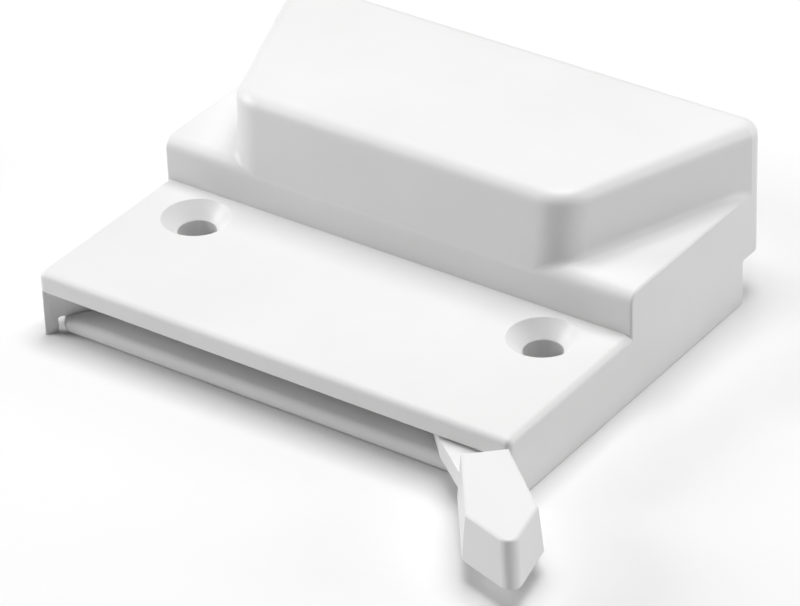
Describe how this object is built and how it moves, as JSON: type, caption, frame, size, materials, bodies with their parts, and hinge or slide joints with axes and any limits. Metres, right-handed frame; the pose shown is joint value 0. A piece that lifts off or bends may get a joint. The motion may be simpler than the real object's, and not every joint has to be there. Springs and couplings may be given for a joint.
{
  "type": "stair gate latch",
  "caption": "Moulded stair gate latch: flat screw-down plate, stepped block housing, swinging thumb lever and sprung sliding bolt.",
  "frame": {"origin": "on the mounting plane, midway between the two fixing holes", "axes": "+Z away from the mounting surface, -Y towards the lever's mouth, +Y along the bolt's throw, +X towards the side where the lever rests"},
  "size_m": [0.082, 0.0827, 0.0244],
  "materials": {
    "white_plastic": "moulded white ABS, fine satin texture",
    "lever_plastic": "moulded white ABS, satin",
    "bolt_plastic": "moulded white nylon, slight gloss",
    "acetal": "natural acetal",
    "zinc_steel": "zinc plated steel",
    "bright_steel": "ground steel",
    "spring_steel": "drawn spring wire"
  },
  "bodies": {
    "case": {"housing": "white_plastic", "base_plate": "white_plastic", "base_screws": "zinc_steel", "keeper_plate": "zinc_steel", "keeper_screws": "zinc_steel", "pivot_pin": "bright_steel", "lower_washer": "bright_steel", "upper_washer": "bright_steel", "left_bolt_spring": "spring_steel", "right_bolt_spring": "spring_steel"},
    "lever": {"thumb_lever": "lever_plastic", "drive_peg": "bright_steel", "peg_sleeve": "acetal"},
    "bolt": {"latch_bolt": "bolt_plastic"}
  },
  "joints": [
    {"name": "lever_swing", "type": "hinge", "parent": "case", "child": "lever", "pos_m": [0, 0.0123, 0.0047], "axis": [0, 0, -1], "range_deg": [0, 83], "stiffness_Nm_per_rad": 0.0183, "springref_deg": -62.26},
    {"name": "bolt_slide", "type": "slide", "parent": "case", "child": "bolt", "axis": [0, -1, 0], "range_m": [0, 0.008], "deforming": ["left_bolt_spring", "right_bolt_spring"]}
  ],
  "couplings": [
    {"joint": "bolt_slide", "follows": "lever_swing", "m_per_rad": 0.005522}
  ]
}
